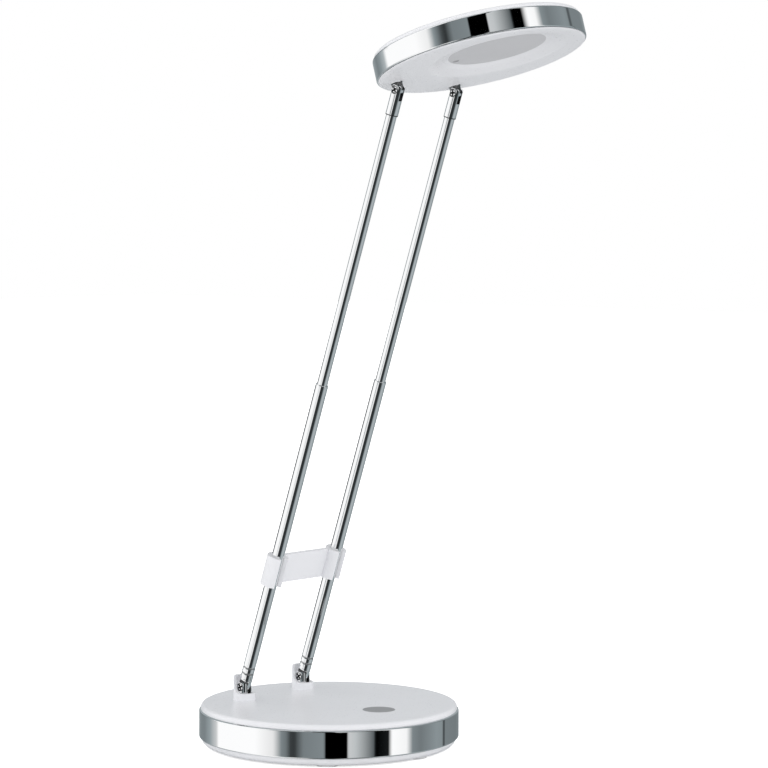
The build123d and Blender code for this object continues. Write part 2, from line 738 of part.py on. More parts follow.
def build():
    """Every node by name, in its place."""
    nodes = {
        "base_cover": base_cover(),
        "base_band": base_band(),
        "base_pan": base_pan(),
        "rubber_feet": group(Pos(), rubber_feet()),
        "base_screws": group(Pos(), base_screws()),
        "ballast_plate": bar(ballast_diameter / 2, pan_floor_z, pan_floor_z + ballast_thickness),
        "touch_pad": Pos(0, -pad_offset, 0) * bar(pad_diameter / 2, cover_top_z - pad_thickness, cover_top_z),
        "touch_foam": Pos(0, -pad_offset, 0) * bar(foam_diameter / 2, board_top_z, cover_under_z),
        "touch_board": touch_board(),
        "board_screws": group(Pos(), board_screws()),
        "dc_socket": dc_socket(),
        "base_leads": group(Pos(), base_leads()),
        "rod_clip": rod_place(0, clip_position) * rod_clip(),
        "head_face": head_place * head_face(),
        "head_band": head_place * head_band(),
        "head_cap": head_place * head_cap(),
        "diffuser": light_place * bar(diffuser_radius, window_depth, diffuser_top),
        "led_board": light_place * bar(led_board_diameter / 2, led_board_low, heat_sink_low),
        "leds": group(light_place, leds()),
        "heat_sink": light_place * heat_sink(),
        "heat_sink_screws": group(light_place, heat_sink_screws()),
        "head_leads": group(head_place, head_leads()),
    }
    tag_level = cover_under_z - tag_thickness
    nut_level = tag_level - nut_height(base_stud_diameter)
    studs = [Pos(x, hinge_setback, 0) for x in rod_sides.values()]
    nodes["fork_tags"] = group(Pos(0, 0, tag_level), [s * solder_tag(base_stud_diameter) for s in studs])
    nodes["fork_nuts"] = group(Pos(0, 0, nut_level), [s * hex_nut(base_stud_diameter) for s in studs])
    tongues = [Pos(x, head_reach, face_thickness) for x in rod_sides.values()]
    nodes["tongue_tags"] = group(head_place, [t * solder_tag(head_stud_diameter) for t in tongues])
    raised = Pos(0, 0, tag_thickness)
    nodes["tongue_nuts"] = group(head_place, [t * raised * hex_nut(head_stud_diameter) for t in tongues])
    upright = [Pos(x, hinge_setback, hinge_z) for x in rod_sides.values()]
    nodes["base_hinge_screws"] = group(Pos(), [u * hinge_screw(base_fork_diameter) for u in upright])
    ends = [rod_place(x, rod_length) for x in rod_sides.values()]
    nodes["head_hinge_screws"] = group(Pos(), [e * hinge_screw(sleeve_diameter) for e in ends])
    for side, x in rod_sides.items():
        nodes[f"base_fork_{side}"] = Pos(x, hinge_setback, hinge_z) * base_fork()
        nodes[f"lower_plug_{side}"] = rod_place(x) * lower_plug()
        nodes[f"lower_tube_{side}"] = rod_place(x) * lower_tube()
        nodes[f"upper_tube_{side}"] = rod_place(x) * upper_tube()
        nodes[f"contact_bush_{side}"] = rod_place(x) * contact_bush()
        nodes[f"upper_fork_{side}"] = rod_place(x, rod_length) * upper_fork()
        nodes[f"head_tongue_{side}"] = head_place * Pos(x, 0, 0) * head_tongue()
    return nodes


os.makedirs("parts", exist_ok=True)
for name, shape in build().items():
    export_step(shape, f"parts/{name}.step")
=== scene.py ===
import json
from math import cos, hypot, pi, radians, sin

import bmesh
import bpy
from mathutils import Matrix, Vector


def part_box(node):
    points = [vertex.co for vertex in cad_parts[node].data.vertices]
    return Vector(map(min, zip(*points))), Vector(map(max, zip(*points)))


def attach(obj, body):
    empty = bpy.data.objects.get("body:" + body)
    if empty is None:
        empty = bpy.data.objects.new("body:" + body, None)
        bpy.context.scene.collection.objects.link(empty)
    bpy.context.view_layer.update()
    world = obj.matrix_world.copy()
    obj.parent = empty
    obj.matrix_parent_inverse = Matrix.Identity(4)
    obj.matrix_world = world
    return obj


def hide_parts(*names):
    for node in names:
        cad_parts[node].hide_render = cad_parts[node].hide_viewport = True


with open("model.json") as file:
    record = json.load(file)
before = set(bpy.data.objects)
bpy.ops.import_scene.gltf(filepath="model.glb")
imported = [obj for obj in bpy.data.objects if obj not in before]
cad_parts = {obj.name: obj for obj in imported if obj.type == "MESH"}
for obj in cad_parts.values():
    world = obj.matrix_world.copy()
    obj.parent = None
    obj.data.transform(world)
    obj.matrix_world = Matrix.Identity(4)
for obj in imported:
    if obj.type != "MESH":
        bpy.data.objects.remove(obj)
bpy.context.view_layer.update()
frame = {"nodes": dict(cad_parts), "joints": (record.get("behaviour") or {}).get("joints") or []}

# Sizes are in millimetres, as on the drawing, and become metres in the meshes
MM = 0.001

# Points nearer than this, in metres, are one point
WELD = 1e-6

# How finely round shapes are divided, and the angles from which an edge counts as sharp
RIM_STEPS = 192
DISC_STEPS = 96
ROD_STEPS = 64
SMALL_STEPS = 48
DIMPLE_STEPS = 32
ROUND_STEPS = 5
SMOOTH_ANGLE = radians(38)
CORNER_ANGLE = radians(50)

# Up to these angles, faces that meet are merged into one
CAD_FLAT_ANGLE = radians(0.5)
CLIP_FLAT_ANGLE = radians(0.2)

# How far a cutter reaches above the cover or below the table
CUT_PAST = 1.0

# Base: the band sits round spigots of the cover and the pan
BASE_RADIUS = 72.5
BASE_BAND = {"wall": 1.5, "lip": 3.5, "thickness": 1.4, "lower_round": 0.7, "upper_round": 0.5}
SPIGOT_RADIUS = 68.8
COVER_RADIUS = 71.5
COVER_INSIDE = 66.6
COVER_WALL = 2.2
COVER_SPIGOT = 3.4
COVER_ROUND = 2.0
SHADOW_GROOVE_HEIGHT = 0.4
SHADOW_GROOVE_DEPTH = 0.7
SHADOW_GROOVE_ROUND = 0.15
PAN_RADIUS = 71.2
PAN_INSIDE = 67.2
PAN_FLOOR = 2.6
PAN_ROUND = 4.0
PAD_RADIUS = 9.0
PAD_GAP = 0.02
PAD_RIM = 1.0
PAD_HOLLOW = 0.1
PAD_ROUND = 0.15
FOOT_RADIUS = 6.5
FOOT_HEIGHT = 1.8
FOOT_GAP = 0.2
FOOT_ROUND = 0.5
FOOT_CIRCLE = 124.0
FOOT_ANGLES = (0, 50, 130, 180, -130, -50)
SCREW_WELL_RADIUS = 3.0
SCREW_WELL_DEPTH = 2.2
BASE_SCREW_CIRCLE = 120.0
BASE_SCREW_ANGLES = (25, 155, -155, -25)
SOCKET_HOLE_RADIUS = 3.9
SOCKET_HOLE_START = 60.0
SOCKET_HOLE_END = 80.0
SOCKET_EDGE_ROUND = 0.2

# Hinge cups: tall behind, cut low in front
CUP_RADIUS = 6.2
CUP_BORE = 4.4
CUP_BACK_HEIGHT = 13.8
CUP_FRONT_HEIGHT = 4.0
CUP_SINK = 0.2
CUP_FOOT_ROUND = 0.25
CUP_RIM_ROUND = 0.5
CUP_EDGE_ROUND = 0.3
CUP_EDGE_STEPS = 3
CUP_EDGE_MARGIN = 0.1
CUP_CUT_BLOCK = 20.0
CUP_CUT_END = 2.4
CUP_CUT_ROUND = 4.5
CUP_CUT_STEPS = 12

# Screws, with a share of the head's height as the round of its edge
HINGE_SCREW = {"diameter": 2.2, "head_diameter": 3.8, "head_height": 0.95,
               "cross_width": 1.25, "cross_reach": 2.2, "cross_depth": 0.85}
BASE_SCREW = {"diameter": 3.0, "length": 11.0, "head_diameter": 5.6, "head_height": 1.3,
              "cross_width": 1.0, "cross_reach": 1.9, "cross_depth": 1.0}
HEAD_ROUND_SHARE = 0.6
CROSS_TAPER = (0.45, 0.7, 1)
CROSS_LEAST_HEIGHT = 0.05
CROSS_MOST_OUTWARD = 0.1
HINGE_SCREW_SINK = 1.3
HINGE_SCREW_SHORTER = 1.8
BASE_FORK_DIAMETER = 7.9
SLEEVE_DIAMETER = 6.8
BASE_SCREW_TURNS = (25, 40)
HEAD_SCREW_TURNS = (40, 20)

# Rods, with starts, ends and crimps as heights above the base hinge, along the rod
ROD_SPACING = 49.6
LOWER_RADIUS = 3.5
LOWER_BORE = 3.1
LOWER_START = 5.3
LOWER_END = 181.4
LOWER_LIP_RADIUS = 2.95
LOWER_LIP_HEIGHT = 1.2
LOWER_RIM_ROUND = 0.35
CRIMP_HEIGHTS = (8.6, 12.1)
CRIMP_HALF_WIDTH = 0.55
CRIMP_DEPTH = 0.25
CRIMP_EDGE_ROUND = 0.2
CRIMP_FLOOR_ROUND = 0.3
CRIMP_ZONE_TOP = 14.0
CRIMP_ZONE_WALL = 0.1
CRIMP_SHADE_DEPTH = 0.06
CRIMP_MOST_LEVEL = 0.9
UPPER_RADIUS = 2.9
UPPER_WALL = 0.4
UPPER_START = 163.4
UPPER_TOP_GAP = 7.0
NECK_RADIUS = 2.6
NECK_HEIGHT = 8.6
NECK_COLLAR = 0.6

# Hinge pieces on the rods
FORK_EDGE_ROUND = 0.12
SLEEVE_EDGE_ROUND = 0.25
CAD_EDGE_STEPS = 2
SLOT_HALF_WIDTH = 1.31
SLOT_WALL_FACING = 0.5
SLOT_FLOOR_FACING = 0.3
SEAT_RADIUS = 2.3
SLEEVE_LENGTH = 14.0
SLEEVE_RING = 0.55
FLANGE_RADIUS = 3.5
FLANGE_LOW = -12.0
FLANGE_HIGH = 22.0

# Clip, with half of its slit in degrees
CLIP_RADIUS = 6.0
CLIP_BORE = 3.55
CLIP_HEIGHT = 17.2
CLIP_HALF_SLIT = 28.0
CLIP_WEB_FRONT = 0.5
CLIP_WEB_BACK = 2.5
CLIP_WEB_MARGIN = 0.02
CLIP_ROUND = 0.4
CLIP_ROUND_STEPS = 3
CLIP_ALONG = 71.0

# Head, with heights from its flat underside
HEAD_RISE = radians(16)
HEAD_REACH = 39.394
HEAD_HINGE_DROP = 3.9
HEAD_RADIUS = 56.6
HEAD_BAND = {"wall": 1.4, "lip": 3.0, "thickness": 1.2, "lower_round": 0.8, "upper_round": 0.8}
HEAD_BAND_LOW = 0.8
HEAD_BAND_HIGH = 12.2
CAP_RADIUS = 55.6
CAP_TOP = 14.6
CAP_ROUND = 1.8
CAP_CEILING = 12.8
CAP_SPIGOT_RADIUS = 51.6
CAP_SPIGOT_BORE = 50.0
CAP_SPIGOT_END = 4.0
FACE_FLAT_RADIUS = 52.0
FACE_BEND_RADIUS = 53.4
FACE_SHOULDER_RADIUS = 54.8
FACE_SHOULDER_HEIGHT = 0.15
FACE_RADIUS = 55.8
FACE_EDGE_HEIGHT = 0.6
FACE_STEP_RADIUS = 55.1
FACE_SPIGOT_RADIUS = 53.4
FACE_SPIGOT_BORE = 51.8
FACE_SPIGOT_END = 5.0
FACE_ROUND = 0.6
FACE_WALL = 2.0
DISH_OFFSET = 11.3
DISH_FLAT_RADIUS = 40.0
DISH_RADIUS = 37.2
DISH_BEND_RADIUS = 29.4
DISH_BEND_HEIGHT = 1.9
DISH_EDGE_ROUND = 0.9
DISH_BEND_ROUND = 1.0
THROAT_RADIUS = 26.3
POCKET_GAP = 0.02
POCKET_WALL = 3.0
DIFFUSER_RADIUS = 27.0
DIFFUSER_LOW = 3.4
DIFFUSER_TOP = 4.9
DIFFUSER_ROUND = 0.1
DIMPLE_SPOT = (-7.9, 22.1)
DIMPLE_RADIUS = 1.9
DIMPLE_FLOOR_RADIUS = 1.6
DIMPLE_DEPTH = 0.3
DIMPLE_CUT_PAST = 0.2
DIMPLE_MARGIN = 0.1


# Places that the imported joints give

joints = {joint["name"]: joint for joint in frame["joints"]}
rod_axis = Vector(joints["arm_extend"]["axis"])
rod_turn = Vector((0, 0, 1)).rotation_difference(rod_axis).to_matrix().to_4x4()
base_hinge = Vector(joints["arm_tilt"]["pos_m"])
head_hinge = Vector(joints["head_tilt"]["pos_m"])
rod_length = (head_hinge - base_hinge).length / MM
rod_sides = {"left": -ROD_SPACING / 2 * MM, "right": ROD_SPACING / 2 * MM}
head_place = (Matrix.Translation(head_hinge) @ Matrix.Rotation(-HEAD_RISE, 4, "X")
              @ Matrix.Translation((0, -HEAD_REACH * MM, HEAD_HINGE_DROP * MM)))
light_place = head_place @ Matrix.Translation((0, -DISH_OFFSET * MM, 0))


def rod_place(x, along=0.0):
    """A place on the rod at x, a length up from the base hinge."""
    start = Vector((x, base_hinge.y, base_hinge.z))
    return Matrix.Translation(start) @ rod_turn @ Matrix.Translation((0, 0, along * MM))


# Shaping

def everything(bm):
    """All points, edges and faces of a shape."""
    return bm.verts[:] + bm.edges[:] + bm.faces[:]


def ring_edges(bm, radius, height):
    """Edges of the circle at a radius and height."""
    def on_ring(vert):
        return (abs(hypot(vert.co.x, vert.co.y) - radius * MM) < WELD
                and abs(vert.co.z - height * MM) < WELD)
    return [edge for edge in bm.edges if all(on_ring(vert) for vert in edge.verts)]


def round_edges(bm, edges, radius, segments=ROUND_STEPS):
    """Round some edges."""
    bmesh.ops.bevel(bm, geom=edges, offset=radius * MM, offset_type="OFFSET", affect="EDGES",
                    segments=segments, profile=0.5, material=-1, clamp_overlap=True)


def tidy(bm):
    """Merge doubles and turn the faces outwards."""
    bmesh.ops.remove_doubles(bm, verts=bm.verts[:], dist=WELD)
    bmesh.ops.recalc_face_normals(bm, faces=bm.faces[:])
    return bm


def turned(points, rounds=(), steps=RIM_STEPS, closed=True):
    """Turn an outline of (radius, height) points about Z, and round the listed corners."""
    bm = bmesh.new()
    verts = [bm.verts.new((radius * MM, 0, height * MM)) for radius, height in points]
    pairs = list(zip(verts, verts[1:]))
    if closed:
        pairs.append((verts[-1], verts[0]))
    for start, end in pairs:
        if max(start.co.x, end.co.x) > WELD:
            bm.edges.new((start, end))
    bmesh.ops.spin(bm, geom=bm.verts[:] + bm.edges[:], cent=(0, 0, 0), axis=(0, 0, 1),
                   angle=2 * pi, steps=steps, use_merge=True)
    tidy(bm)
    for index, radius in rounds:
        round_edges(bm, ring_edges(bm, *points[index]), radius)
    return bm


def round_bar(radius, low, high, lower_round=0.0, steps=SMALL_STEPS):
    """A round bar about Z, with its lower edge rounded or sharp."""
    rounds = [(1, lower_round)] if lower_round else []
    return turned([(0, low), (radius, low), (radius, high), (0, high)], rounds, steps)


def band(radius, low, high, wall, lip, thickness, lower_round, upper_round):
    """A thin trim band with a lip turned in at both edges."""
    inside = radius - wall
    return turned(
        [(radius - lip, low), (radius, low), (radius, high), (radius - lip, high),
         (radius - lip, high - thickness), (inside, high - thickness), (inside, low + thickness),
         (radius - lip, low + thickness)],
        [(1, lower_round), (2, upper_round)],
    )


def placed(bm, *places):
    """The same shape at each place, in one mesh."""
    mesh = bpy.data.meshes.new("placed")
    bm.to_mesh(mesh)
    bm.free()
    whole = bmesh.new()
    for place in places:
        whole.from_mesh(mesh)
        count = len(mesh.vertices)
        whole.verts.ensure_lookup_table()
        bmesh.ops.transform(whole, matrix=place, verts=whole.verts[-count:])
    bpy.data.meshes.remove(mesh)
    return whole


def put_in(whole, bm):
    """Put a shape into the mesh of another."""
    mesh = bpy.data.meshes.new("put_in")
    bm.to_mesh(mesh)
    bm.free()
    whole.from_mesh(mesh)
    bpy.data.meshes.remove(mesh)


def new_object(name, bm):
    """A shape as an object of the scene."""
    mesh = bpy.data.meshes.new(name)
    bm.to_mesh(mesh)
    bm.free()
    made = bpy.data.objects.new(name, mesh)
    bpy.context.scene.collection.objects.link(made)
    return made


def combined(bm, tool, operation):
    """Cut one closed shape by another, join them or keep what they share."""
    whole = new_object("whole", bm)
    taken = new_object("taken", tool)
    cut = whole.modifiers.new("cut", "BOOLEAN")
    cut.operation = operation
    cut.solver = "EXACT"
    cut.object = taken
    mesh = bpy.data.meshes.new_from_object(whole.evaluated_get(bpy.context.evaluated_depsgraph_get()))
    result = bmesh.new()
    result.from_mesh(mesh)
    for helper in (whole, taken):
        spare = helper.data
        bpy.data.objects.remove(helper)
        bpy.data.meshes.remove(spare)
    bpy.data.meshes.remove(mesh)
    return result


def sharp_edges(bm, least=SMOOTH_ANGLE, convex_only=False):
    """Edges at which the surface turns sharply."""
    return [edge for edge in bm.edges
            if len(edge.link_faces) == 2 and edge.calc_face_angle() > least
            and (edge.is_convex or not convex_only)]


def from_cad(node, edge_round):
    """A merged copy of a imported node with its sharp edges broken."""
    bm = bmesh.new()
    bm.from_mesh(frame["nodes"][node].data)
    bmesh.ops.remove_doubles(bm, verts=bm.verts[:], dist=WELD)
    bmesh.ops.dissolve_limit(bm, angle_limit=CAD_FLAT_ANGLE, verts=bm.verts[:], edges=bm.edges[:])
    round_edges(bm, sharp_edges(bm, convex_only=True), edge_round, CAD_EDGE_STEPS)
    return bm


def second_finish(bm, belongs):
    """Give a piece's second finish to the faces that belong."""
    for face in bm.faces:
        if belongs(face):
            face.material_index = 1
    return bm


def piece(name, bm, body, slot, node, *finishes):
    """A finished piece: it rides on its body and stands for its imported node."""
    made = new_object(name, bm)
    mesh = made.data
    mesh.polygons.foreach_set("use_smooth", [True] * len(mesh.polygons))
    mesh.set_sharp_from_angle(angle=SMOOTH_ANGLE)
    for finish in finishes:
        mesh.materials.append(finish)
    even = made.modifiers.new("even_normals", "WEIGHTED_NORMAL")
    even.keep_sharp = True
    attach(made, body)
    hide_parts(node)
    return made


# Finishes

WHITE = (1, 1, 1, 1)
NOISE_LOW = 0.3
NOISE_HIGH = 0.7
CLOUD_SCALE = 40.0
CLOUD_DETAIL = 3.0
RELIEF_FINER = 1.7
RELIEF_DETAIL = 2.0
GREY_TINT = (0.995, 1.0, 1.005)
WHITE_TINT = (0.992, 1.0, 1.035)


def new_finish(name):
    """An empty node material with its Principled shader."""
    finish = bpy.data.materials.new(name)
    finish.use_nodes = True
    tree = finish.node_tree
    return finish, tree, tree.nodes["Principled BSDF"]


def add(tree, kind, **values):
    """A node with its settings."""
    node = tree.nodes.new(kind)
    for key, value in values.items():
        setattr(node, key, value)
    return node


def feed(tree, socket, value):
    """Link a socket to an output, or set it to a value."""
    if isinstance(value, bpy.types.NodeSocket):
        tree.links.new(value, socket)
    else:
        socket.default_value = value


def worked_out(tree, operation, *values):
    """A calculation on outputs and numbers."""
    node = add(tree, "ShaderNodeMath", operation=operation)
    for socket, value in zip(node.inputs, values):
        feed(tree, socket, value)
    return node.outputs["Value"]


def mapped(tree, source, from_low, from_high, to_low=0.0, to_high=1.0):
    """An output mapped from one range to another."""
    ranged = add(tree, "ShaderNodeMapRange")
    ranged.inputs["From Min"].default_value = from_low
    ranged.inputs["From Max"].default_value = from_high
    ranged.inputs["To Min"].default_value = to_low
    ranged.inputs["To Max"].default_value = to_high
    tree.links.new(source, ranged.inputs["Value"])
    return ranged.outputs["Result"]


def noise(tree, scale, detail=CLOUD_DETAIL):
    """Noise on Object coordinates, with a size in repeats per metre."""
    cloud = add(tree, "ShaderNodeTexNoise")
    cloud.inputs["Scale"].default_value = scale
    cloud.inputs["Detail"].default_value = detail
    place = add(tree, "ShaderNodeTexCoord")
    tree.links.new(place.outputs["Object"], cloud.inputs["Vector"])
    return cloud.outputs["Fac"]


def tint(tree, source, low, high):
    """Noise as a range of colours."""
    ramp = add(tree, "ShaderNodeValToRGB")
    ends = zip(ramp.color_ramp.elements, (NOISE_LOW, NOISE_HIGH), (low, high))
    for stop, position, colour in ends:
        stop.position = position
        stop.color = (*colour, 1)
    tree.links.new(source, ramp.inputs["Fac"])
    return ramp.outputs["Color"]


def bump(tree, shader, source, height, strength):
    """Fine relief, with its height in millimetres."""
    relief = add(tree, "ShaderNodeBump")
    relief.inputs["Distance"].default_value = height * MM
    relief.inputs["Strength"].default_value = strength
    tree.links.new(source, relief.inputs["Height"])
    tree.links.new(relief.outputs["Normal"], shader.inputs["Normal"])


def finish_of(name, dark, light, rough, grain, metallic=0.0, specular=0.5, relief=0.0, strength=0.0):
    """A finish with cloudy colour, uneven gloss and fine relief."""
    finish, tree, shader = new_finish(name)
    shader.inputs["Metallic"].default_value = metallic
    shader.inputs["Specular IOR Level"].default_value = specular
    colour = tint(tree, noise(tree, CLOUD_SCALE), dark, light)
    tree.links.new(colour, shader.inputs["Base Color"])
    roughness = mapped(tree, noise(tree, grain), NOISE_LOW, NOISE_HIGH, *rough)
    tree.links.new(roughness, shader.inputs["Roughness"])
    if relief:
        bump(tree, shader, noise(tree, grain * RELIEF_FINER, RELIEF_DETAIL), relief, strength)
    return finish


def grey(value):
    """A neutral grey, a touch cool."""
    return tuple(value * part for part in GREY_TINT)


def white(value):
    """The cool white of the mouldings."""
    return tuple(value * part for part in WHITE_TINT)


bright_chrome = finish_of("bright_chrome", grey(0.97), grey(0.98), rough=(0.01, 0.03), grain=300,
                          metallic=1.0, relief=0.002, strength=0.02)
# Painted shade: this dark steel goes on the hinges' slots, screw seats and the sleeve's lower end ring,
# where shade falls
hinge_painted_shade = finish_of("painted_shade_hinge_steel", grey(0.10), grey(0.16), rough=(0.25, 0.4), grain=900,
                       metallic=1.0, relief=0.004, strength=0.2)
groove_shade = finish_of("crimp_groove_shade", grey(0.42), grey(0.52), rough=(0.3, 0.45), grain=900,
                         metallic=1.0)
# Painted shade: a near-black finish for the faces inside the screws' cross recesses
painted_recess_shade = finish_of("painted_shade_screw_recess", grey(0.012), grey(0.03), rough=(0.4, 0.6), grain=2500,
                        metallic=0.5)
gloss_white = finish_of("gloss_white_moulding", white(0.79), white(0.81), rough=(0.27, 0.33), grain=900,
                        specular=0.4, relief=0.0015, strength=0.05)
soft_white = finish_of("soft_white_moulding", white(0.80), white(0.82), rough=(0.42, 0.52), grain=1200,
                       specular=0.3, relief=0.006, strength=0.2)
clip_white = finish_of("clip_white_moulding", white(0.77), white(0.79), rough=(0.42, 0.52), grain=1200,
                       specular=0.3, relief=0.006, strength=0.2)
touch_grey = finish_of("satin_touch_grey", white(0.29), white(0.32), rough=(0.38, 0.46), grain=2500,
                       specular=0.3, relief=0.006, strength=0.3)
frosted = finish_of("frosted_acrylic", white(0.56), white(0.58), rough=(0.45, 0.55), grain=3000,
                    specular=0.3, relief=0.006, strength=0.3)
# A darker grey for the faces of a small round dimple on the diffuser
darker_dimple_grey = finish_of("darker_dimple", white(0.36), white(0.42), rough=(0.4, 0.5), grain=2500,
                      specular=0.3)
pale_rubber = finish_of("pale_rubber", grey(0.66), grey(0.72), rough=(0.6, 0.75), grain=1800,
                        specular=0.25, relief=0.01, strength=0.4)
black_moulding = finish_of("black_moulding", grey(0.012), grey(0.022), rough=(0.4, 0.55), grain=1500,
                           relief=0.006, strength=0.3)
zinc = finish_of("zinc_plate", grey(0.55), grey(0.68), rough=(0.25, 0.4), grain=700,
                 metallic=1.0, relief=0.004, strength=0.2)
cast_iron = finish_of("cast_iron", grey(0.07), grey(0.13), rough=(0.6, 0.8), grain=900,
                      metallic=0.6, relief=0.05, strength=0.6)
brass = finish_of("plain_brass", (0.62, 0.46, 0.2), (0.74, 0.57, 0.27), rough=(0.2, 0.35), grain=600,
                  metallic=1.0, relief=0.004, strength=0.2)
aluminium = finish_of("bare_aluminium", grey(0.68), grey(0.76), rough=(0.3, 0.42), grain=800,
                      metallic=1.0, relief=0.004, strength=0.3)
foam = finish_of("conductive_foam", grey(0.03), grey(0.06), rough=(0.8, 0.95), grain=4000,
                 relief=0.08, strength=0.8)
board_white = finish_of("white_solder_mask", (0.78, 0.8, 0.77), (0.83, 0.85, 0.82), rough=(0.35, 0.5),
                        grain=700)
lead_red = finish_of("red_lead_sleeve", (0.42, 0.02, 0.02), (0.52, 0.03, 0.03), rough=(0.35, 0.45),
                     grain=900)
phosphor = finish_of("phosphor_yellow", (0.75, 0.62, 0.2), (0.85, 0.72, 0.26), rough=(0.5, 0.6),
                     grain=1500)

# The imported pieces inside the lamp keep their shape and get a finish, and chrome doesn't mirror them
inside_finish = {
    "ballast_plate": cast_iron, "touch_foam": foam, "touch_board": board_white, "board_screws": zinc,
    "base_leads": lead_red, "fork_tags": brass, "fork_nuts": zinc, "contact_bush_left": brass,
    "contact_bush_right": brass, "led_board": board_white, "leds": phosphor, "heat_sink": aluminium,
    "heat_sink_screws": zinc, "head_leads": lead_red, "tongue_tags": brass, "tongue_nuts": zinc,
}
for node, finish in inside_finish.items():
    frame["nodes"][node].data.materials.clear()
    frame["nodes"][node].data.materials.append(finish)
    frame["nodes"][node].visible_glossy = False


# Base

def levels(node):
    """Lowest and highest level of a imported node, in millimetres."""
    low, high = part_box(node)
    return low.z / MM, high.z / MM


band_low, band_high = levels("base_band")
pad_low, cover_top = levels("touch_pad")
pan_low, pan_top = levels("base_pan")
pad_low_corner, pad_high_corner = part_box("touch_pad")
pad_place = Matrix.Translation((0, (pad_low_corner.y + pad_high_corner.y) / 2, 0))
socket_low, socket_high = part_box("dc_socket")
socket_place = Matrix.Translation((0, 0, (socket_low.z + socket_high.z) / 2))


def round_spot(diameter, angle):
    """A place on a circle about the base axis, at an angle from the front."""
    turn = radians(angle)
    return Matrix.Translation((diameter / 2 * sin(turn) * MM, -diameter / 2 * cos(turn) * MM, 0))


foot_spots = [Matrix.Identity(4)] + [round_spot(FOOT_CIRCLE, angle) for angle in FOOT_ANGLES]
screw_spots = [round_spot(BASE_SCREW_CIRCLE, angle) for angle in BASE_SCREW_ANGLES]


def base_band():
    """Chrome band with a round hole at the back for the supply socket."""
    hole = placed(round_bar(SOCKET_HOLE_RADIUS, SOCKET_HOLE_START, SOCKET_HOLE_END),
                  socket_place @ Matrix.Rotation(-pi / 2, 4, "X"))
    return combined(band(BASE_RADIUS, band_low, band_high, **BASE_BAND), hole, "DIFFERENCE")


def base_cover():
    """Top shell with a fine shadow groove above the band and a flush recess for the touch pad."""
    ceiling = cover_top - COVER_WALL
    spigot_end = band_high - COVER_SPIGOT
    groove_floor = COVER_RADIUS - SHADOW_GROOVE_DEPTH
    groove_top = band_high + SHADOW_GROOVE_HEIGHT
    shell = turned(
        [(0, ceiling), (COVER_INSIDE, ceiling), (COVER_INSIDE, spigot_end), (SPIGOT_RADIUS, spigot_end),
         (SPIGOT_RADIUS, band_high), (groove_floor, band_high), (groove_floor, groove_top),
         (COVER_RADIUS, groove_top), (COVER_RADIUS, cover_top), (0, cover_top)],
        [(7, SHADOW_GROOVE_ROUND), (8, COVER_ROUND)],
    )
    recess = round_bar(PAD_RADIUS + PAD_GAP, pad_low, cover_top + CUT_PAST, steps=DISC_STEPS)
    return tidy(combined(shell, placed(recess, pad_place), "DIFFERENCE"))


def hinge_cup():
    """The socket round a base hinge: a low wall in front and a tall shield behind."""
    foot = CUP_RADIUS + CUP_FOOT_ROUND
    cup = turned(
        [(CUP_BORE, -CUP_SINK), (foot, -CUP_SINK), (foot, 0), (CUP_RADIUS, CUP_FOOT_ROUND),
         (CUP_RADIUS, CUP_BACK_HEIGHT), (CUP_BORE, CUP_BACK_HEIGHT)],
        [(4, CUP_RIM_ROUND), (5, CUP_RIM_ROUND)], ROD_STEPS,
    )
    front = bmesh.new()
    half_block = CUP_CUT_BLOCK / 2
    bmesh.ops.create_cube(front, size=CUP_CUT_BLOCK * MM)
    bmesh.ops.translate(front, verts=front.verts[:],
                        vec=(0, (CUP_CUT_END - half_block) * MM, (CUP_FRONT_HEIGHT + half_block) * MM))
    corner = [edge for edge in front.edges
              if all(abs(v.co.z - CUP_FRONT_HEIGHT * MM) < WELD and v.co.y > 0 for v in edge.verts)]
    round_edges(front, corner, CUP_CUT_ROUND, CUP_CUT_STEPS)
    cup = combined(cup, front, "DIFFERENCE")
    bmesh.ops.remove_doubles(cup, verts=cup.verts[:], dist=WELD)
    rim_level = (CUP_FRONT_HEIGHT - CUP_EDGE_MARGIN) * MM
    rims = [edge for edge in sharp_edges(cup, CORNER_ANGLE)
            if min(v.co.z for v in edge.verts) > rim_level]
    round_edges(cup, rims, CUP_EDGE_ROUND, CUP_EDGE_STEPS)
    return cup


def base_pan():
    """Lower shell with recesses for the feet and wells for the screws."""
    floor = pan_low + PAN_FLOOR
    pan = turned(
        [(0, pan_low), (PAN_RADIUS, pan_low), (PAN_RADIUS, band_low), (SPIGOT_RADIUS, band_low),
         (SPIGOT_RADIUS, pan_top), (PAN_INSIDE, pan_top), (PAN_INSIDE, floor), (0, floor)],
        [(1, PAN_ROUND)],
    )
    recesses = placed(round_bar(FOOT_RADIUS + FOOT_GAP, -CUT_PAST, FOOT_HEIGHT), *foot_spots)
    pan = combined(pan, recesses, "DIFFERENCE")
    wells = placed(round_bar(SCREW_WELL_RADIUS, -CUT_PAST, SCREW_WELL_DEPTH), *screw_spots)
    return combined(pan, wells, "DIFFERENCE")


def touch_pad():
    """Round pad, hollowed a little towards its middle."""
    return turned(
        [(0, pad_low), (PAD_RADIUS, pad_low), (PAD_RADIUS, cover_top), (PAD_RADIUS - PAD_RIM, cover_top),
         (0, cover_top - PAD_HOLLOW)],
        [(2, PAD_ROUND)], DISC_STEPS,
    )


